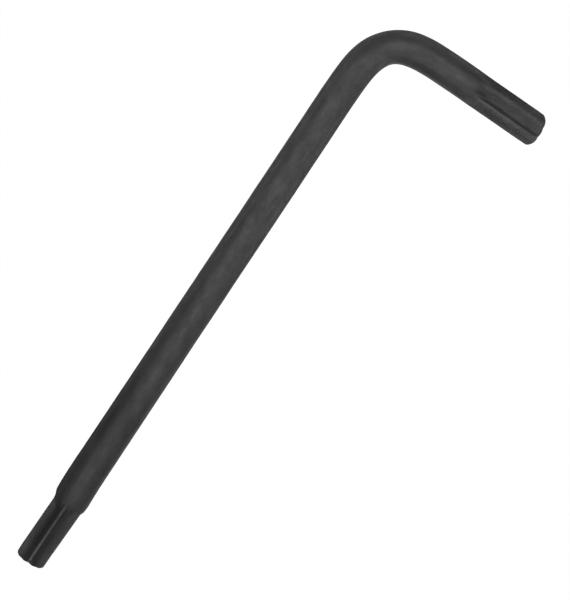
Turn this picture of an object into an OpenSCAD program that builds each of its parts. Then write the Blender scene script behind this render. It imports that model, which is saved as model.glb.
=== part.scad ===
// Star key: an L-shaped hand key bent from one round steel bar, with a
// six-lobed star driver formed on both ends.
// Millimetres. The key lies flat on Z = 0. The long arm runs along X with its
// star tip at -X and the elbow at +X; the short arm leaves the elbow along -Y.

/* [Bar] */
// Diameter of the round bar
bar_d = 2.80; // [2.78:0.01:3.20]
// Length of the long arm, from the outside of the short arm to the star end
long_length = 52.45; // [45:0.05:90]
// Length of the short arm, from the outside of the long arm to the star end
short_length = 16.65; // [16.2:0.05:30]

/* [Elbow] */
// Centreline radius in the middle of the elbow
bend_r = 3.8; // [3.0:0.1:4.2]
// Centreline radius where the elbow eases into each arm
ease_r = 18; // [12:0.5:19]
// Angle that each easing arc turns through
ease_angle = 8.8; // [6:0.1:10]

/* [Star tips] */
// Star size measured across opposite lobes
star_a = 2.74; // [2.70:0.01:2.76]
// Star size measured across opposite flute bottoms
star_b = 1.96; // [1.92:0.01:2.00]
// Radius of the hollow of a flute
flute_r = 0.593; // [0.57:0.001:0.60]
// Length of full-depth flutes on each tip
flute_length = 5.4; // [4.6:0.1:5.6]
// Length over which the flutes fade out into the round bar
runout_length = 1.2; // [0.8:0.1:1.6]
// Rounding of the rim at the end of each tip
end_round = 0.42; // [0.20:0.01:0.50]
// Turn of a lobe on the long tip, from straight up towards the outside of the key
long_tip_turn = 5; // [0:1:59]
// Turn of a lobe on the short tip, from straight up towards the inside of the key
short_tip_turn = 35; // [0:1:59]

/* [Hidden] */
$fn = 96;

bar_r = bar_d / 2;
steel = [0.25, 0.25, 0.25];

// the point where the two arm axes would cross
corner = [long_length / 2 - bar_r, short_length / 2 - bar_r];

// distance from the crossing point to where each arm starts to bend
bend_start = ease_r - (ease_r - bend_r) * (cos(ease_angle) - sin(ease_angle));

// a tip takes in its flutes, their run-out and a short collar of plain bar
collar = 0.2;
tip_length = flute_length + runout_length + collar;

// straight round lengths between the elbow and the tips
long_straight = long_length - bar_r - bend_start - tip_length;
short_straight = short_length - bar_r - bend_start - tip_length;

// star outline: lobe circles and flute circles, each 60 degrees apart
flute_c = star_b / 2 + flute_r;
// the lobe radius that makes a lobe circle meet its two flute circles,
// from the cosine rule on the two centres, a hair large so that they cross
lobe_r = ((star_a / 2) * (star_a / 2) + flute_c * flute_c
          - 2 * (star_a / 2) * flute_c * cos(30) - flute_r * flute_r)
         / (2 * (flute_r + star_a / 2 - flute_c * cos(30))) + 0.003;
lobe_c = star_a / 2 - lobe_r;
// the core reaches out to where lobe and flute circles meet
core_r = sqrt(pow(lobe_c + (flute_c * cos(30) - lobe_c) * lobe_r / (lobe_r + flute_r), 2)
              + pow(flute_c * sin(30) * lobe_r / (lobe_r + flute_r), 2)) - 0.006;

module star_outline() {
    difference() {
        union() {
            circle(r = core_r);
            for (i = [0:5]) rotate(i * 60) translate([lobe_c, 0]) circle(r = lobe_r);
        }
        for (i = [0:5]) rotate(i * 60 + 30) translate([flute_c, 0]) circle(r = flute_r);
    }
}

// everything inside the rounded rim at the end of a tip
module rim_limit(length) {
    r = star_a / 2 + 0.02;
    rotate_extrude() {
        square([r - end_round, length]);
        square([r, length - end_round]);
        translate([r - end_round, length - end_round])
            intersection() { circle(r = end_round); square(end_round); }
    }
}

// one driver tip standing on Z = 0, its free end up, one lobe towards +X
module star_tip() {
    root = collar + runout_length;
    // the rise of each flute out of its hollow, as a cone on the flute's own axis
    r_fade = flute_c - bar_r - 0.02;
    r_root = flute_r - 0.015;
    past = 0.2;
    r_past = r_root + (r_root - r_fade) * past / runout_length;
    intersection() {
        translate([0, 0, root - 0.3]) linear_extrude(height = flute_length + 0.3) star_outline();
        rim_limit(tip_length);
    }
    difference() {
        // the bar draws in by a hair towards the lobes
        cylinder(r1 = bar_r, r2 = star_a / 2 + 0.004, h = root);
        for (i = [0:5]) rotate(i * 60 + 30) translate([flute_c, 0, collar])
            cylinder(r1 = r_fade, r2 = r_past, h = runout_length + past);
    }
}

// part of a ring of round bar, in the plane of the key, its ring centred on the origin
module bar_arc(r, turn) {
    rotate_extrude(angle = turn) translate([r, 0]) circle(r = bar_r);
}

module long_star_tip() {
    color(steel)
        translate([-long_length / 2 + tip_length, corner[1], bar_r])
        rotate([0, -90, 0]) rotate([0, 0, long_tip_turn]) star_tip();
}

// straight round bar, and the gentle arc that leads into the elbow
module long_arm() {
    color(steel)
        translate([corner[0] - bend_start, corner[1], bar_r]) union() {
            rotate([0, -90, 0]) cylinder(r = bar_r, h = long_straight);
            translate([0, -ease_r, 0]) mirror([1, 0, 0]) rotate([0, 0, 90]) bar_arc(ease_r, ease_angle);
        }
}

// the tight middle of the bend
module elbow() {
    c1 = [corner[0] - bend_start, corner[1] - ease_r];
    c2 = c1 + (ease_r - bend_r) * [sin(ease_angle), cos(ease_angle)];
    color(steel)
        translate([c2[0], c2[1], bar_r]) rotate([0, 0, ease_angle]) bar_arc(bend_r, 90 - 2 * ease_angle);
}

// straight round bar, and the gentle arc that leads into the elbow
module short_arm() {
    color(steel)
        translate([corner[0], corner[1] - bend_start, bar_r]) union() {
            rotate([90, 0, 0]) cylinder(r = bar_r, h = short_straight);
            translate([-ease_r, 0, 0]) bar_arc(ease_r, ease_angle);
        }
}

module short_star_tip() {
    color(steel)
        translate([corner[0], -short_length / 2 + tip_length, bar_r])
        rotate([90, 0, 0]) rotate([0, 0, 90 + short_tip_turn]) star_tip();
}

long_star_tip();
long_arm();
elbow();
short_arm();
short_star_tip();
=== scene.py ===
import math

import bmesh
import bpy
import numpy as np
from mathutils import Matrix, Vector


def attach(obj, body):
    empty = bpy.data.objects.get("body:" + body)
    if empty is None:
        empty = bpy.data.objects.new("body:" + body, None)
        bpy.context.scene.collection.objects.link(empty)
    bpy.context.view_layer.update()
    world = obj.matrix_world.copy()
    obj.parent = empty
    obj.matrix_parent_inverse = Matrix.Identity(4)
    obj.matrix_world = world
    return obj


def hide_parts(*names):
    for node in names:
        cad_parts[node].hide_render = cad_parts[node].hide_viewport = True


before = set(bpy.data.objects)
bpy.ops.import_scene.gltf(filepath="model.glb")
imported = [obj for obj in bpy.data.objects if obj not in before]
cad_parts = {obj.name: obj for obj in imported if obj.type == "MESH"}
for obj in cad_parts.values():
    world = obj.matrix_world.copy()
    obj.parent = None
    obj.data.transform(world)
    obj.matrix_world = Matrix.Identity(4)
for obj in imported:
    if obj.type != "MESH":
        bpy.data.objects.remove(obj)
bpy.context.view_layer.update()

# ---------------------------------------------------------------------------
# The key's own sizes, in millimetres, in the frame of the CAD model.
# ---------------------------------------------------------------------------
MM = 0.001
BAR_R = 1.40                      # round bar
LONG_L, SHORT_L = 52.45, 16.65    # overall arm lengths, outside to star end
CORNER = np.array([LONG_L / 2 - BAR_R, SHORT_L / 2 - BAR_R])   # arm axes cross here
LT, LS = LONG_L - BAR_R, SHORT_L - BAR_R                        # from there to each end
TIP_L = 6.8                       # a tip with its flutes, run-outs and collar
FLUTE_L = 5.35                    # where the lobes start to swell into the bar

# The bend: curvature swells and dies away smoothly about the middle of the elbow.
BEND_W, BEND_P, BEND_HALF = 2.90, 1.87, 9.0
THIN_OUT, THIN_IN, THIN_W = 0.069, 0.056, 1.45   # the bar is squeezed a little there

NPHI = 288                        # points round the bar
rng = np.random.default_rng(20417)


def smooth(x, a, b):
    t = np.clip((np.asarray(x, float) - a) / (b - a), 0.0, 1.0)
    return t * t * (3 - 2 * t)


def smin(a, b, k):
    """The lower of a and b, with their crossing rounded over a width k."""
    h = np.clip(0.5 + 0.5 * (b - a) / k, 0.0, 1.0)
    return b * (1 - h) + a * h - k * h * (1 - h)


# ---------------------------------------------------------------------------
# Centreline: straight long arm, smooth elbow, straight short arm.
# ---------------------------------------------------------------------------
def make_centreline():
    ds = 0.01
    s = np.arange(-BEND_HALF, BEND_HALF + ds / 2, ds)
    k = np.exp(-(np.abs(s) / BEND_W) ** BEND_P)
    turn = np.concatenate([[0.0], np.cumsum(0.5 * (k[1:] + k[:-1]) * ds)])
    th = -0.5 * math.pi * turn / turn[-1]
    mid = 0.5 * (th[1:] + th[:-1])
    x = np.concatenate([[0.0], np.cumsum(np.cos(mid) * ds)])
    y = np.concatenate([[0.0], np.cumsum(np.sin(mid) * ds)])
    x = x - x[-1]
    reach = -x[0]
    a_len, b_len = LT - reach, LS - reach
    S = np.concatenate([[0.0], a_len + (s + BEND_HALF), [a_len + 2 * BEND_HALF + b_len]])
    X = np.concatenate([[-LT], x, [0.0]]) + CORNER[0]
    Y = np.concatenate([[0.0], y, [-LS]]) + CORNER[1]
    T = np.concatenate([[0.0], th, [-0.5 * math.pi]])
    return S, X, Y, T, a_len + BEND_HALF


CS, CX, CY, CT, S_MID = make_centreline()
S_END = CS[-1]


def centre(s):
    """Point and tangent angle of the centreline at lengths s from the long end."""
    return np.interp(s, CS, CX), np.interp(s, CS, CY), np.interp(s, CS, CT)


# ---------------------------------------------------------------------------
# Star section: lobe arcs and flute hollows.
# ---------------------------------------------------------------------------
def lobe_round(R, b, f):
    """The lobe radius at which a lobe circle just touches its two flute circles."""
    c = b + f
    k = c * math.cos(math.pi / 6)
    R = np.asarray(R, float)
    return (R * R + c * c - 2 * R * k - f * f) / (2 * (f + R - k))


def star_radius(phi, lobe_at, R, b, f):
    """Radius of the section at angles phi: lobes that reach R, flutes of hollow radius f whose
    bottoms lie b from the axis."""
    psi = np.abs((phi - lobe_at) % (math.pi / 3) - math.pi / 6)   # from the flute's middle
    c = b + f
    rf = lobe_round(R, b, f)
    q = R - rf
    d = math.pi / 6
    fx, fy = q * math.cos(d), q * math.sin(d)
    tx = c + (fx - c) * f / (f + rf)
    ty = fy * f / (f + rf)
    psi1 = np.arctan2(ty, tx)
    hollow = c * np.cos(psi) - np.sqrt(np.maximum(f * f - (c * np.sin(psi)) ** 2, 0.0))
    e = psi - d
    edge = q * np.cos(e) + np.sqrt(np.maximum(rf * rf - (q * np.sin(e)) ** 2, 0.0))
    return np.where(psi < psi1, hollow, edge)


def saw_radius(phi, lobe_at, R, top, foot, low, wall, power):
    """Radius of a section whose flutes have a flat floor, sloping from one lobe down to the foot of
    a steep wall under the next. Angles from a flute's middle: top, where the floor leaves the
    lobe; foot, where it is low from the axis; wall, where the wall has risen to R."""
    d = (phi - lobe_at) % (math.pi / 3) - math.pi / 6
    top, foot, wall = (math.radians(v) for v in (top, foot, wall))
    bx, by = R * math.sin(top), R * math.cos(top)
    fx, fy = -low * math.sin(foot), low * math.cos(foot)
    slope = (by - fy) / (bx - fx)
    lies = -np.arctan(slope)
    near = (by - slope * bx) / np.sqrt(1 + slope * slope)
    rise = np.where(d < 0, (np.abs(d) / wall) ** power, 0.0) * (R - near / np.cos(-wall - lies))
    return smin(near / np.cos(d - lies) + rise, R, 0.03)


# R: lobe radius at the end and at the root; star: bottoms and hollow radius of round flutes; saw:
# the floors and walls of flat ones; run: middle of the flutes' run-out, at every angle round the
# tip, and its length there; lobe: where a lobe stands, from straight up towards the outside of the
# key, at the end and at the root; lean: how far the star is off the bar's axis at its root; dome:
# rounding of the end, along and across; cut: slant of the end; petal, rim: its relief;
# rub_and_highlight: how narrow and how strong the bright crests are, real wear with a painted
# highlight, how much more so on the lit inner side, how far they stand from the lobe angle, and how
# much less (or, below 0, more) they are brightened at the root; flute_shaded: how much darker the
# flutes are, painted shade with unrubbed oxide, how close to the crests, what is left of that on the
# inner side and near the end, and where it starts.
TIPS = {
    "long": dict(R=(1.382, 1.368), star=(0.98, 0.80), saw=None,
                 run=((-180, -90, -30, 0, 30, 60, 90, 180), (5.40, 5.20, 5.28, 5.27, 5.14, 5.36, 5.56, 5.40),
                      (1.0, 1.0, 1.0, 1.0, 0.9, 0.9, 1.0, 1.0)),
                 lobe=(4.9, 8.9), lean=-0.105,
                 dome=(0.58, 0.80), cut=0.0, petal=0.075, rim=0.020, rub_and_highlight=(26, 0.92, 0, 0.0, 0.36), flute_shaded=(0.85, 3, 1.0, 1.0, None)),
    "short": dict(R=(1.410, 1.418), star=None, saw=(28.5, 16.8, 1.135, 23.0, 4.0),
                  run=((-180, -120, -75, -45, -31, -23, -10, 10, 30, 60, 120, 180),
                       (5.90, 5.90, 5.85, 5.90, 5.95, 5.90, 5.85, 5.90, 5.95, 6.00, 5.90, 5.90),
                       (1.4, 1.4, 2.0, 1.6, 1.0, 1.7, 2.4, 2.4, 1.8, 1.4, 1.4, 1.4)),
                  lobe=(-36.5, -36.5), lean=0.0,
                  dome=(0.62, 0.82), cut=-0.07, petal=0.055, rim=0.010, rub_and_highlight=(24, 0.38, 2, 2.8, -1.5), flute_shaded=(1.8, 3, 0.50, 0.34, (6.1, 6.9))),
}


def fade(spec, a, phi):
    """How far the flutes have faded out into the bar, 0 to 1."""
    at, mid, length = spec["run"]
    deg = (np.degrees(phi) + 180) % 360 - 180
    mid, length = np.interp(deg, at, mid), np.interp(deg, at, length)
    return smooth((a - mid) / length, -0.5, 0.5)


def bar_radius(s):
    """The bar swells by a hair towards the long tip, where it was pressed."""
    return 1.421 + 0.027 * np.exp(-(np.clip(s - 7.0, 0, None) / 7.0) ** 1.7)


def tip_rings(spec, a, phi, bar):
    """Section radii, sideways lean and lobe angle of a tip, at distances a from its end."""
    a = np.asarray(a, float)[:, None]
    bar = np.asarray(bar, float)[:, None]
    p = phi[None, :]
    f = np.clip(a / FLUTE_L, 0, 1.25)
    lobe_at = np.radians(spec["lobe"][0] + (spec["lobe"][1] - spec["lobe"][0]) * f)
    Rt = spec["R"][0] + (spec["R"][1] - spec["R"][0]) * np.clip(f, 0, 1)
    R = Rt + (bar - Rt) * smooth(a, FLUTE_L, FLUTE_L + 1.0)
    if spec["saw"] is None:
        depth = Rt - star_radius(p, lobe_at, Rt, *spec["star"])
    else:
        depth = Rt - saw_radius(p, lobe_at, Rt, *spec["saw"])
    rho = R - depth * (1 - fade(spec, a, p))
    # domed end: the section may not stand outside a curve that turns in towards the end
    ea, er = spec["dome"]
    q = np.clip(1 - a / ea, 0, 1)
    limit = R - er + er * np.sqrt(np.maximum(1 - q * q, 0.0))
    rho = np.where(a < ea * 1.5, smin(rho, limit + 0.012 * np.clip(a / ea, 0, 9), 0.05), rho)
    lean = spec["lean"] * np.interp(a, [0.0, 1.2, FLUTE_L, FLUTE_L + 0.9, FLUTE_L + 1.6, FLUTE_L + 2.6, 99],
                                    [0.02, 0.03, 1, 0.52, 0.21, 0.03, 0])
    return rho, lean, lobe_at


def end_bulge(spec, r, phi, lobe_at):
    """How far the end stands back: petals between the lobes, a shallow hollow along them."""
    petal = 0.5 - 0.5 * np.cos(6 * (phi - lobe_at))          # 0 on a lobe, 1 on a flute
    petal = petal ** 0.6
    out = smooth(r, 0.05, 0.62)
    return -spec["petal"] * (1 - petal * out) + spec["rim"] * smooth(r, 0.40, 0.85)


# ---------------------------------------------------------------------------
# Rings along the whole key.
# ---------------------------------------------------------------------------
phi = math.pi + np.arange(NPHI) * (2 * math.pi / NPHI)      # seam underneath

B1, B4 = TIP_L, S_END - TIP_L                                # tip borders
B2, B3 = S_MID - 2.40, S_MID + 2.40                          # elbow borders


def spaced(a, b, step):
    n = max(2, int(round((b - a) / step)) + 1)
    return np.linspace(a, b, n)


def tip_steps(e):
    q = np.radians(np.linspace(90, 0, 22))
    rim = e - e * np.sin(q)
    body = spaced(e, FLUTE_L - 0.15, 0.085)[1:]
    run = spaced(FLUTE_L - 0.15, TIP_L, 0.04)[1:]
    return np.concatenate([rim, body, run])


aL = tip_steps(TIPS["long"]["dome"][0])
aS = tip_steps(TIPS["short"]["dome"][0])
arm1 = np.concatenate([spaced(B1, B1 + 1.5, 0.10)[1:], spaced(B1 + 1.5, S_MID - 9.0, 0.16)[1:],
                       spaced(S_MID - 9.0, B2, 0.11)[1:]])
bend = spaced(B2, B3, 0.07)[1:]
arm2 = np.concatenate([spaced(B3, S_MID + 7.0, 0.11)[1:], spaced(S_MID + 7.0, B4, 0.10)[1:]])
tip2 = (S_END - aS[::-1])[1:]
s_all = np.concatenate([aL, arm1, bend, arm2, tip2])
M = len(s_all)
i1 = len(aL) - 1
i2 = i1 + len(arm1)
i3 = i2 + len(bend)
i4 = i3 + len(arm2)

bar = bar_radius(s_all)
rho = np.repeat(bar[:, None], NPHI, axis=1)
lean = np.zeros((M, 1))
lobe = np.zeros((M, 1))
reachL = s_all < TIP_L + 1.8
reachS = (S_END - s_all) < TIP_L + 1.8
rho[reachL], lean[reachL], lobe[reachL] = tip_rings(TIPS["long"], s_all[reachL], phi, bar[reachL])
rho[reachS], lean[reachS], lobe[reachS] = tip_rings(TIPS["short"], S_END - s_all[reachS], phi, bar[reachS])

# elbow: squeezed a little in the plane of the key
thin = np.exp(-((s_all - S_MID) / THIN_W) ** 2)[:, None]
sp = np.sin(phi)[None, :]
rho -= thin * sp * sp * np.where(sp > 0, THIN_OUT, THIN_IN)

# the bend and the short arm: the top is slightly flattened, square to the way that it was pressed
flat = (smooth(s_all, S_MID - 3.5, S_MID - 0.5) * smooth(S_END - s_all, 6.4, 9.4))[:, None]
faces_up = np.cos(phi[None, :] - np.radians(-9.0 - 5.0 * smooth(s_all, S_MID - 3.0, S_MID + 3.0)[:, None]))
rho -= 0.5 * flat * np.maximum(rho - 1.306 / np.maximum(faces_up, 0.5), 0.0) * (faces_up > 0.8)

# a shallow pressed flat on top of the bar, next to the flutes of the long tip
press = (smooth(s_all, 5.5, 6.2) * (1 - smooth(s_all, 8.4, 10.4)))[:, None]
faces_up = np.cos(phi - math.radians(5.0))[None, :]
rho -= press * np.maximum(rho - 1.397 / np.maximum(faces_up, 0.5), 0.0) * (faces_up > 0.8)

# drawn and heat-treated bar: very slight waviness, a few hundredths at most
waves = np.zeros_like(rho)
for _ in range(34):
    ks = rng.normal(0, 1.5)
    kp = int(rng.integers(0, 5))
    waves += rng.normal(0, 1) * np.cos(ks * s_all[:, None] + kp * phi[None, :] + rng.uniform(0, 6.28))
waves *= 0.0042 / waves.std()
rho += waves

cx, cy, ct = centre(s_all)
nx, ny = -np.sin(ct), np.cos(ct)                             # outward side of the L
side = rho * np.sin(phi)[None, :] + lean
up = rho * np.cos(phi)[None, :]
P = np.empty((M, NPHI, 3))
P[..., 0] = cx[:, None] + side * nx[:, None]
P[..., 1] = cy[:, None] + side * ny[:, None]
P[..., 2] = BAR_R + up

# the relief of an end carries round its dome, and a slanted end stays slanted there
for spec, sel, sign in ((TIPS["long"], s_all, -1), (TIPS["short"], S_END - s_all, 1)):
    reach = 2.2 * spec["dome"][0]
    near = sel < reach
    w = np.clip(1 - sel[near] / spec["dome"][0], 0, 1)[:, None] ** 2
    slant = (1 - smooth(sel[near], 0.0, reach))[:, None] * spec["cut"] * side[near]
    shift = (end_bulge(spec, rho[near], phi[None, :], lobe[near]) * w + slant) * sign
    P[near, :, 0] += shift * np.cos(ct[near])[:, None]
    P[near, :, 1] += shift * np.sin(ct[near])[:, None]

# nothing lies below the surface that the key rests on
P[..., 2] = np.maximum(P[..., 2], 0.0)


def cap_rings(spec, i, sign):
    """Rings that close an end, from its rim towards the middle, and the middle point."""
    rings, mid = [], None
    for f in (0.93, 0.86, 0.78, 0.70, 0.61, 0.52, 0.43, 0.34, 0.25, 0.16, 0.08):
        r = rho[i] * f
        sd, u = r * np.sin(phi) + lean[i, 0], r * np.cos(phi)
        b = (end_bulge(spec, r, phi, lobe[i, 0]) + spec["cut"] * sd) * sign
        q = np.empty((NPHI, 3))
        q[:, 0] = cx[i] + sd * nx[i] + b * math.cos(ct[i])
        q[:, 1] = cy[i] + sd * ny[i] + b * math.sin(ct[i])
        q[:, 2] = BAR_R + u
        rings.append(q)
    b = float(end_bulge(spec, np.zeros(1), np.zeros(1), 0.0)[0]) * sign
    mid = np.array([cx[i] + lean[i, 0] * nx[i] + b * math.cos(ct[i]),
                    cy[i] + lean[i, 0] * ny[i] + b * math.sin(ct[i]), BAR_R])
    return rings, mid


# shading normals of the one continuous skin, so that the pieces meet without a seam
dphi = np.roll(P, -1, axis=1) - np.roll(P, 1, axis=1)
dS = np.empty_like(P)
dS[1:-1] = P[2:] - P[:-2]
dS[0] = P[1] - P[0]
dS[-1] = P[-1] - P[-2]
NRM = np.cross(dphi, dS)
NRM /= np.linalg.norm(NRM, axis=2, keepdims=True)
outward = np.stack([nx[:, None] * np.sin(phi), ny[:, None] * np.sin(phi),
                    np.broadcast_to(np.cos(phi), (M, NPHI))], axis=2)
if (NRM * outward).sum() < 0:
    NRM = -NRM

# worn crests of the lobes, brightened by real wear and a painted highlight, and the flutes, darkened by painted shade
# and unrubbed oxide
crest = np.zeros((M, NPHI))
hollow = np.zeros((M, NPHI))
for spec, sel in ((TIPS["long"], s_all), (TIPS["short"], S_END - s_all)):
    zone = 1 - fade(spec, sel[:, None], phi[None, :])
    # painted highlight on the crests, on top of real wear: set off from the lobe angle towards the light, and stronger
    # on the lit inner side
    c6 = 0.5 + 0.5 * np.cos(6 * (phi[None, :] - lobe - math.radians(spec["rub_and_highlight"][3])))
    toward_light = (0.5 - 0.5 * np.sin(phi))[None, :] ** spec["rub_and_highlight"][2]
    toward_light = toward_light * (1 - spec["rub_and_highlight"][4] * smooth(sel, 0.8, 4.2)[:, None])
    crest = np.maximum(crest, zone * toward_light * c6 ** spec["rub_and_highlight"][0] * spec["rub_and_highlight"][1])
    # painted shade in the flutes, partly unrubbed oxide: weaker on the lit inner side and near the end
    dark, width, left_in, left_end, start = spec["flute_shaded"]
    if start is not None:
        zone = 1 - smooth(sel, *start)[:, None]
    dark = dark * (left_in + (1 - left_in) * smooth(np.sin(phi), -0.95, -0.55)[None, :])
    kept = np.maximum(smooth(sel, 0.2, 3.2)[:, None], smooth(-np.sin(phi), 0.60, 0.75)[None, :])
    dark = dark * (left_end + (1 - left_end) * kept)
    hollow = np.maximum(hollow, zone * (1 - c6 ** width) * dark)


# ---------------------------------------------------------------------------
# Material: black oxide over drawn steel.
# ---------------------------------------------------------------------------
def node(nt, kind, x, y, **props):
    n = nt.nodes.new(kind)
    n.location = (x, y)
    for k, v in props.items():
        setattr(n, k, v)
    return n


def noise(nt, vec, x, y, scale, detail=4.0, rough=0.55, distortion=0.0):
    n = node(nt, "ShaderNodeTexNoise", x, y)
    n.noise_dimensions = "3D"
    n.inputs["Scale"].default_value = scale
    n.inputs["Detail"].default_value = detail
    n.inputs["Roughness"].default_value = rough
    n.inputs["Distortion"].default_value = distortion
    nt.links.new(vec, n.inputs["Vector"])
    return n.outputs["Fac"]


def remap(nt, val, x, y, a, b, c, d):
    n = node(nt, "ShaderNodeMapRange", x, y)
    n.clamp = True
    n.inputs["From Min"].default_value = a
    n.inputs["From Max"].default_value = b
    n.inputs["To Min"].default_value = c
    n.inputs["To Max"].default_value = d
    nt.links.new(val, n.inputs["Value"])
    return n.outputs["Result"]


def math_node(nt, op, a, b, x, y):
    n = node(nt, "ShaderNodeMath", x, y, operation=op)
    for i, v in enumerate((a, b)):
        if isinstance(v, (int, float)):
            n.inputs[i].default_value = v
        else:
            nt.links.new(v, n.inputs[i])
    return n.outputs[0]


def stretched(nt, vec, x, y, scale):
    n = node(nt, "ShaderNodeMapping", x, y)
    n.inputs["Scale"].default_value = scale
    nt.links.new(vec, n.inputs["Vector"])
    return n.outputs["Vector"]


def black_oxide():
    mat = bpy.data.materials.new("black_oxide_steel")
    mat.use_nodes = True
    nt = mat.node_tree
    nt.nodes.clear()
    out = node(nt, "ShaderNodeOutputMaterial", 1200, 0)
    bsdf = node(nt, "ShaderNodeBsdfPrincipled", 900, 0)
    nt.links.new(bsdf.outputs["BSDF"], out.inputs["Surface"])
    flow = node(nt, "ShaderNodeAttribute", -1200, 0, attribute_name="flow").outputs["Vector"]
    crest_wear_and_highlight = node(nt, "ShaderNodeAttribute", -1200, -400, attribute_name="crest").outputs["Fac"]
    deep = node(nt, "ShaderNodeAttribute", -1200, -600, attribute_name="hollow").outputs["Fac"]

    blotch = noise(nt, stretched(nt, flow, -1000, 300, (0.45, 1.0, 1.0)), -800, 300, 0.75, 3.0, 0.5)
    streak = noise(nt, stretched(nt, flow, -1000, 60, (0.10, 1.0, 1.0)), -800, 60, 3.2, 4.0, 0.6)
    mottle = noise(nt, stretched(nt, flow, -1000, 180, (0.48, 1.0, 1.0)), -800, 180, 1.7, 3.0, 0.55)
    speck = noise(nt, flow, -800, -180, 7.0, 5.0, 0.65)
    grain = noise(nt, flow, -800, -420, 26.0, 4.0, 0.6)

    # tone: broad cloudy patches, faint drawing streaks, fine crystal grain
    t1 = remap(nt, blotch, -560, 300, 0.30, 0.70, -0.16, 0.16)
    t2 = remap(nt, streak, -560, 60, 0.25, 0.75, -0.07, 0.07)
    t3 = remap(nt, speck, -560, -180, 0.25, 0.75, -0.08, 0.08)
    t4 = remap(nt, mottle, -560, 180, 0.30, 0.70, -0.20, 0.20)
    tone = math_node(nt, "ADD", math_node(nt, "ADD", t1, t2, -360, 200),
                     math_node(nt, "ADD", t3, t4, -360, 60), -200, 120)
    # crest lines: real wear plus a painted highlight, which lightens the base colour and makes it glossier
    speckled_wear_and_highlight = math_node(nt, "MULTIPLY", crest_wear_and_highlight, remap(nt, speck, -360, -300, 0.35, 0.62, 0.25, 1.0), -200, -260)
    # flutes: base colour darkened by painted shade and unrubbed oxide
    flute_shaded = math_node(nt, "SUBTRACT", tone, math_node(nt, "MULTIPLY", deep, 0.30, -200, -120), -60, -60)
    level = math_node(nt, "ADD", math_node(nt, "ADD", flute_shaded, 1.0, -60, 120),
                      math_node(nt, "MULTIPLY", speckled_wear_and_highlight, 2.6, -60, -200), 80, 60)
    col = node(nt, "ShaderNodeCombineColor", 420, 120)
    for i, base in enumerate((0.0500, 0.0500, 0.0504)):
        nt.links.new(math_node(nt, "MULTIPLY", level, base, 250, 160 - 60 * i), col.inputs[i])
    nt.links.new(col.outputs["Color"], bsdf.inputs["Base Color"])

    # finish: satin, a little glossier where it is rubbed, duller in the patches
    r1 = remap(nt, blotch, -560, -520, 0.3, 0.7, 0.46, 0.54)
    r2 = math_node(nt, "ADD", r1, remap(nt, grain, -560, -640, 0.2, 0.8, -0.05, 0.05), -360, -560)
    r3 = math_node(nt, "SUBTRACT", r2, math_node(nt, "MULTIPLY", speckled_wear_and_highlight, 0.16, -360, -700), -200, -600)
    r4 = math_node(nt, "ADD", r3, remap(nt, mottle, -560, -760, 0.30, 0.70, 0.085, -0.065), -60, -620)
    # small polished spots, far apart
    spot = noise(nt, stretched(nt, flow, -1000, -860, (0.8, 1.0, 1.0)), -800, -860, 2.6, 2.0, 0.5)
    r5 = math_node(nt, "SUBTRACT", r4, remap(nt, spot, -560, -860, 0.66, 0.76, 0.0, 0.15), 80, -640)
    nt.links.new(r5, bsdf.inputs["Roughness"])
    bsdf.inputs["Metallic"].default_value = 0.0
    bsdf.inputs["Specular IOR Level"].default_value = 0.5
    bsdf.inputs["IOR"].default_value = 1.5

    # relief: grain of the oxide and the drawn lines
    b0 = node(nt, "ShaderNodeBump", 500, -380)
    b0.inputs["Strength"].default_value = 0.22
    b0.inputs["Distance"].default_value = 0.00003
    nt.links.new(grain, b0.inputs["Height"])
    b1 = node(nt, "ShaderNodeBump", 680, -380)
    b1.inputs["Strength"].default_value = 0.20
    b1.inputs["Distance"].default_value = 0.00005
    nt.links.new(math_node(nt, "ADD", streak, math_node(nt, "MULTIPLY", speck, 0.8, 380, -520), 520, -520),
                 b1.inputs["Height"])
    nt.links.new(b0.outputs["Normal"], b1.inputs["Normal"])
    nt.links.new(b1.outputs["Normal"], bsdf.inputs["Normal"])
    return mat


STEEL = black_oxide()


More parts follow.
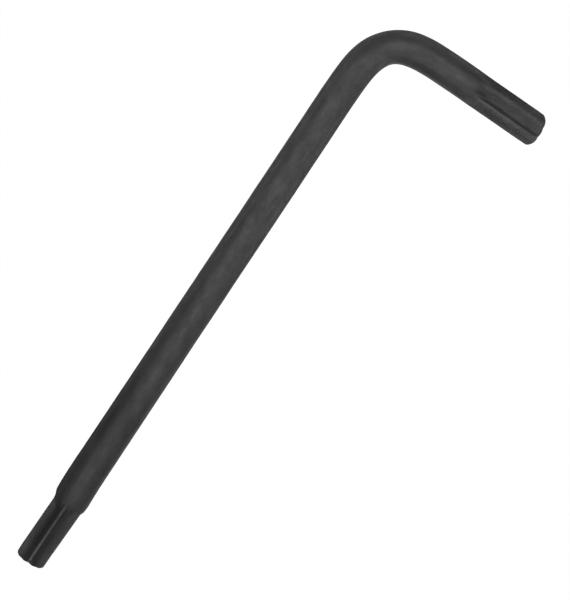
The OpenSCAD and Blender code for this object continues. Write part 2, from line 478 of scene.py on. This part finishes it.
# ---------------------------------------------------------------------------
# Pieces: the skin cut at the zone borders, each closed, each standing for its CAD node.
# ---------------------------------------------------------------------------
def piece(name, lo, hi, start_tip=None, end_tip=None):
    """Closed mesh from ring lo to ring hi. A tip's free end gets its shaped cap; a border inside
    the key gets a flat one."""
    pts = [P[i] for i in range(lo, hi + 1)]
    n = hi - lo + 1
    verts = np.concatenate(pts, axis=0)
    ring0 = lambda k: k * NPHI
    faces, smooth_faces = [], []
    idx = np.arange(NPHI)
    nxt = (idx + 1) % NPHI
    for k in range(n - 1):
        a, b = ring0(k), ring0(k + 1)
        for j in range(NPHI):
            faces.append((a + idx[j], b + idx[j], b + nxt[j], a + nxt[j]))
    extra, extra_meta = [], []
    base = len(verts)

    def close(i, k, spec, sign, flip):
        nonlocal base
        if spec is None:
            mid = P[i].mean(axis=0)
            extra.append(mid[None, :])
            m = base
            base += 1
            for j in range(NPHI):
                f = (ring0(k) + idx[j], ring0(k) + nxt[j], m)
                faces.append(f if not flip else f[::-1])
            return
        rings, mid = cap_rings(spec, i, sign)
        prev = ring0(k)
        for r in rings:
            extra.append(r)
            for j in range(NPHI):
                f = (prev + idx[j], prev + nxt[j], base + nxt[j], base + idx[j])
                faces.append(f if not flip else f[::-1])
            prev = base
            base += NPHI
        extra.append(mid[None, :])
        for j in range(NPHI):
            f = (prev + idx[j], prev + nxt[j], base)
            faces.append(f if not flip else f[::-1])
        base += 1

    close(lo, 0, start_tip, -1, False)
    close(hi, n - 1, end_tip, 1, True)
    allv = np.concatenate([verts] + extra, axis=0)
    mesh = bpy.data.meshes.new(name)
    mesh.from_pydata((allv * MM).tolist(), [], faces)
    mesh.validate()
    bm = bmesh.new()
    bm.from_mesh(mesh)
    bmesh.ops.recalc_face_normals(bm, faces=bm.faces)
    if bm.calc_volume(signed=True) < 0:
        bmesh.ops.reverse_faces(bm, faces=bm.faces)
    bm.to_mesh(mesh)
    bm.free()
    mesh.shade_smooth()

    # where each point lies along and round the bar, how bright its crest is with wear and painted highlight, and how
    # much painted shade its flute carries
    count = len(mesh.vertices)
    flow = np.zeros((count, 3))
    rub_and_highlight, deep = np.zeros(count), np.zeros(count)
    sgrid = np.repeat(s_all[lo:hi + 1], NPHI)
    pgrid = np.tile(phi, n)
    flow[:n * NPHI, 0] = sgrid
    flow[:n * NPHI, 1] = rho[lo:hi + 1].ravel() * np.cos(pgrid)
    flow[:n * NPHI, 2] = rho[lo:hi + 1].ravel() * np.sin(pgrid)
    rub_and_highlight[:n * NPHI] = crest[lo:hi + 1].ravel()
    deep[:n * NPHI] = hollow[lo:hi + 1].ravel()
    if count > n * NPHI:
        rest = allv[n * NPHI:]
        for tip, i in ((start_tip, lo), (end_tip, hi)):
            if tip is None:
                continue
            d = np.hypot(rest[:, 0] - cx[i], rest[:, 1] - cy[i])
            near = d < 3.0
            q = rest[near]
            flow[n * NPHI:][near, 0] = s_all[i] + (q[:, 0] - cx[i]) * math.cos(ct[i]) + (q[:, 1] - cy[i]) * math.sin(ct[i])
            flow[n * NPHI:][near, 1] = q[:, 2] - BAR_R
            flow[n * NPHI:][near, 2] = (q[:, 0] - cx[i]) * nx[i] + (q[:, 1] - cy[i]) * ny[i]
    at = mesh.attributes.new("flow", "FLOAT_VECTOR", "POINT")
    at.data.foreach_set("vector", flow.ravel())
    at = mesh.attributes.new("crest", "FLOAT", "POINT")
    at.data.foreach_set("value", rub_and_highlight)
    at = mesh.attributes.new("hollow", "FLOAT", "POINT")
    at.data.foreach_set("value", deep)

    # normals: from the continuous skin on the side, from the faces on the ends
    mesh.update()
    vn = np.empty(count * 3, np.float32)
    mesh.vertices.foreach_get("normal", vn)
    vn = vn.reshape(-1, 3).astype(float)
    side_n = NRM[lo:hi + 1].reshape(-1, 3)
    loops = len(mesh.loops)
    lv = np.empty(loops, np.int32)
    mesh.loops.foreach_get("vertex_index", lv)
    ln = vn[lv]
    poly_start = np.empty(len(mesh.polygons), np.int32)
    poly_total = np.empty(len(mesh.polygons), np.int32)
    mesh.polygons.foreach_get("loop_start", poly_start)
    mesh.polygons.foreach_get("loop_total", poly_total)
    poly_of = np.repeat(np.arange(len(mesh.polygons)), poly_total)
    on_side = np.zeros(len(mesh.polygons), bool)
    vert_side = np.arange(count) < n * NPHI
    ok = vert_side[lv]
    np.logical_and.reduceat(ok, poly_start, out=on_side)
    tip_v = np.zeros(count, bool)
    if start_tip is not None:
        tip_v[:NPHI] = True
    if end_tip is not None:
        tip_v[(n - 1) * NPHI:n * NPHI] = True
    use = on_side[poly_of] & vert_side[lv] & ~tip_v[lv]
    ln[use] = side_n[lv[use]]
    # a flat border inside the key keeps its own normal
    pn = np.empty(len(mesh.polygons) * 3, np.float32)
    mesh.polygons.foreach_get("normal", pn)
    pn = pn.reshape(-1, 3)
    inner = ~on_side[poly_of]
    flat = np.zeros(len(mesh.polygons), bool)
    if start_tip is None:
        m = n * NPHI if start_tip is None else -1
        flat |= np.isin(np.arange(len(mesh.polygons)), poly_of[lv == m])
    if end_tip is None:
        m = count - 1
        flat |= np.isin(np.arange(len(mesh.polygons)), poly_of[lv == m])
    sel = flat[poly_of]
    ln[sel] = pn[poly_of[sel]]
    mesh.normals_split_custom_set(ln.tolist())
    mesh.materials.append(STEEL)
    ob = bpy.data.objects.new(name, mesh)
    bpy.context.scene.collection.objects.link(ob)
    return ob


PIECES = [
    ("key_long_star_tip", "long_star_tip", piece("key_long_star_tip", 0, i1, start_tip=TIPS["long"])),
    ("key_long_arm", "long_arm", piece("key_long_arm", i1, i2)),
    ("key_elbow", "elbow", piece("key_elbow", i2, i3)),
    ("key_short_arm", "short_arm", piece("key_short_arm", i3, i4)),
    ("key_short_star_tip", "short_star_tip", piece("key_short_star_tip", i4, M - 1, end_tip=TIPS["short"])),
]
for _, cad_node, ob in PIECES:
    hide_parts(cad_node)
    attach(ob, "root")


# ---------------------------------------------------------------------------
# Floor, light and camera.
# ---------------------------------------------------------------------------
def pale(name, mesh, strength):
    """A plain pale surface of the studio."""
    mat = bpy.data.materials.new(name)
    mat.use_nodes = True
    b = mat.node_tree.nodes["Principled BSDF"]
    b.inputs["Base Color"].default_value = (0.10, 0.10, 0.10, 1)
    b.inputs["Roughness"].default_value = 0.9
    b.inputs["Specular IOR Level"].default_value = 0.0
    b.inputs["Emission Color"].default_value = (1, 1, 1, 1)
    b.inputs["Emission Strength"].default_value = strength
    mat.cycles.emission_sampling = "NONE"
    mesh.materials.append(mat)
    mesh.shade_smooth()
    ob = bpy.data.objects.new(name, mesh)
    bpy.context.scene.collection.objects.link(ob)
    return ob


def cove_mesh():
    """Round floor that sweeps up into a wall all the way round."""
    prof = [(r, 0.0) for r in (0.03, 0.1, 0.3, 0.7)]
    prof += [(0.7 + 0.3 * math.sin(q), 0.3 - 0.3 * math.cos(q)) for q in np.radians(np.arange(10, 91, 10))]
    prof += [(1.0, 0.8)]
    n = 64
    verts, faces = [(0.0, 0.0, 0.0)], []
    for r, z in prof:
        for k in range(n):
            verts.append((r * math.cos(2 * math.pi * k / n), r * math.sin(2 * math.pi * k / n), z))
    for k in range(n):
        faces.append((0, 1 + k, 1 + (k + 1) % n))
    for i in range(len(prof) - 1):
        for k in range(n):
            o, q = 1 + i * n, 1 + (i + 1) * n
            faces.append((o + k, q + k, q + (k + 1) % n, o + (k + 1) % n))
    me = bpy.data.meshes.new("floor")
    me.from_pydata(verts, [], faces)
    return me


# the floor that is seen, white all over, and the light that it throws back on to the key
FLOOR = pale("floor", cove_mesh(), 1.0)
FLOOR.location = (0, 0, -0.00004)
FLOOR.visible_diffuse = False
FLOOR.visible_glossy = False


def glow(x, y):
    """How bright the floor is at a point, in millimetres: a pale pool along the key."""
    d = min(math.hypot(x - min(max(x, -LONG_L / 2), CORNER[0]), y - CORNER[1]),
            math.hypot(x - CORNER[0], y - min(max(y, -SHORT_L / 2), CORNER[1])))
    high = float(smooth(x, -5.0, 1.0))
    inner = float(1 - smooth(max(x - CORNER[0], y - CORNER[1]), -0.6, 0.6))
    rise = float(smooth(x, -15.0, -7.0))
    close = inner * (0.45 + 0.35 * high) + (1 - inner) * (0.10 + 0.10 * rise + 0.35 * high)
    e1, e2 = float(smooth(d, 2.7, 4.3)), float(smooth(d, 7.8, 10.2))
    ring = 0.36 + 0.27 * max(inner, rise)
    return close * (1 - e1) + ring * (e1 - e2) * (1 - high)


def glow_mesh():
    ticks = [-600.0, -200.0, -80.0] + [1.2 * k for k in range(-50, 51)] + [80.0, 200.0, 600.0]
    n = len(ticks)
    me = bpy.data.meshes.new("floor_bounce")
    me.from_pydata([(x * MM, y * MM, 0.0) for x in ticks for y in ticks], [],
                   [(i * n + j, (i + 1) * n + j, (i + 1) * n + j + 1, i * n + j + 1)
                    for i in range(n - 1) for j in range(n - 1)])
    at = me.attributes.new("glow", "FLOAT", "POINT")
    at.data.foreach_set("value", [glow(x, y) for x in ticks for y in ticks])
    return me


BOUNCE = pale("floor_bounce", glow_mesh(), 1.0)
BOUNCE.location = (0, 0, -0.00002)
BOUNCE.visible_camera = False
nt = BOUNCE.data.materials[0].node_tree
nt.nodes["Principled BSDF"].inputs["Base Color"].default_value = (0, 0, 0, 1)
nt.links.new(node(nt, "ShaderNodeAttribute", -300, 0, attribute_name="glow").outputs["Fac"],
             nt.nodes["Principled BSDF"].inputs["Emission Strength"])


def area(name, at, look, size, watts, height=None):
    """A soft light: a disk, or a box of the given width and height."""
    li = bpy.data.lights.new(name, "AREA")
    li.shape = "DISK"
    li.size = size
    if height is not None:
        li.shape = "RECTANGLE"
        li.size_y = height
    li.energy = watts
    ob = bpy.data.objects.new(name, li)
    bpy.context.scene.collection.objects.link(ob)
    ob.location = at
    d = Vector(look) - Vector(at)
    ob.rotation_mode = "QUATERNION"
    ob.rotation_quaternion = d.to_track_quat("-Z", "Y")
    ob.visible_camera = False
    return ob


# overhead: small soft disks, one over the long arm, one on either side of it, one past the elbow
for name, x, y, watts in (("top_middle", 0.009, 0.0, 0.0238), ("top_inner", 0.035, -0.075, 0.0325),
                          ("top_outer", 0.035, 0.075, 0.0370), ("top_far", 0.085, 0.0, 0.0112)):
    area(name, (x, y, 0.115), (x, y, 0.0), 0.030, watts)
# two small low disks close to the elbow half of the long arm, one on either side
for name, x, y, z, watts in (("low_inner", 14.0, -22.0, 18.0, 0.00055), ("low_outer", 16.0, 38.0, 20.0, 0.00045)):
    area(name, (x * MM, y * MM, z * MM), (0.014, 0.007, 0.001), 0.020, watts)
# pale panels that lie on the floor round the elbow half and face up: middle, size, in
# millimetres, and brightness
for name, x, y, wide, deep, glow_at in (("panel_outer", 16.0, 25.4, 36.0, 19.0, 2.45),
                                        ("panel_elbow", 43.3, 6.0, 18.6, 57.8, 1.9),
                                        ("panel_inner", 9.5, -12.6, 19.0, 17.0, 2.4),
                                        ("panel_short_end", 16.0, -30.8, 36.0, 19.4, 2.73)):
    panel = area(name, (x * MM, y * MM, 0.00001), (x * MM, y * MM, 1.0), wide * MM,
                 glow_at * math.pi * wide * deep * MM * MM, deep * MM)
    panel.rotation_quaternion = (0.0, 1.0, 0.0, 0.0)
# soft boxes round the key, 0.45 m away: azimuth, elevation, width, height
for name, az, el, wide, high, watts in (("box_inner", -146.3, 26.0, 0.340, 0.175, 0.161),
                                        ("box_long_end", 168.7, 51.5, 0.215, 0.215, 0.330),
                                        ("box_short_end", -56.3, 4.0, 0.353, 0.109, 0.258)):
    q, e = math.radians(az), math.radians(el)
    area(name, (0.45 * math.cos(q) * math.cos(e), 0.45 * math.sin(q) * math.cos(e), 0.45 * math.sin(e) + 0.001),
         (0, 0, 0.001), wide, watts, high)

world = bpy.data.worlds.new("studio")
bpy.context.scene.world = world
world.use_nodes = True
bg = world.node_tree.nodes["Background"]
bg.inputs["Color"].default_value = (1, 1, 1, 1)
bg.inputs["Strength"].default_value = 0.01

scene = bpy.context.scene
scene.view_settings.view_transform = "Standard"
scene.view_settings.look = "None"
scene.view_settings.exposure = 0.0
scene.view_settings.gamma = 1.0

# camera: nearly straight down on the key, turned so that the long arm climbs to the right
CAM_ROLL, CAM_TX, CAM_TY = 0.98348, 0.02625, 0.12569
CAM_X, CAM_Y, CAM_D, CAM_F = -22.6639, -5.4904, 159.2913, 2000.0
tilt = Matrix.Rotation(math.hypot(CAM_TX, CAM_TY), 3, Vector((CAM_TX, CAM_TY, 0)).normalized())
Rc = tilt @ Matrix.Rotation(CAM_ROLL, 3, "Z")
aim = Vector((CORNER[0] + CAM_X, CORNER[1] + CAM_Y, BAR_R))
eye = aim + Rc.transposed() @ Vector((0, 0, CAM_D))
cam_data = bpy.data.cameras.new("camera")
cam_data.sensor_fit = "AUTO"
cam_data.sensor_width = 36.0
cam_data.lens = CAM_F / 600.0 * 36.0
cam_data.clip_start, cam_data.clip_end = 0.005, 5.0
cam = bpy.data.objects.new("camera", cam_data)
scene.collection.objects.link(cam)
cam.matrix_world = Matrix.Translation(eye * MM) @ Rc.transposed().to_4x4()
scene.camera = cam

bpy.context.view_layer.update()
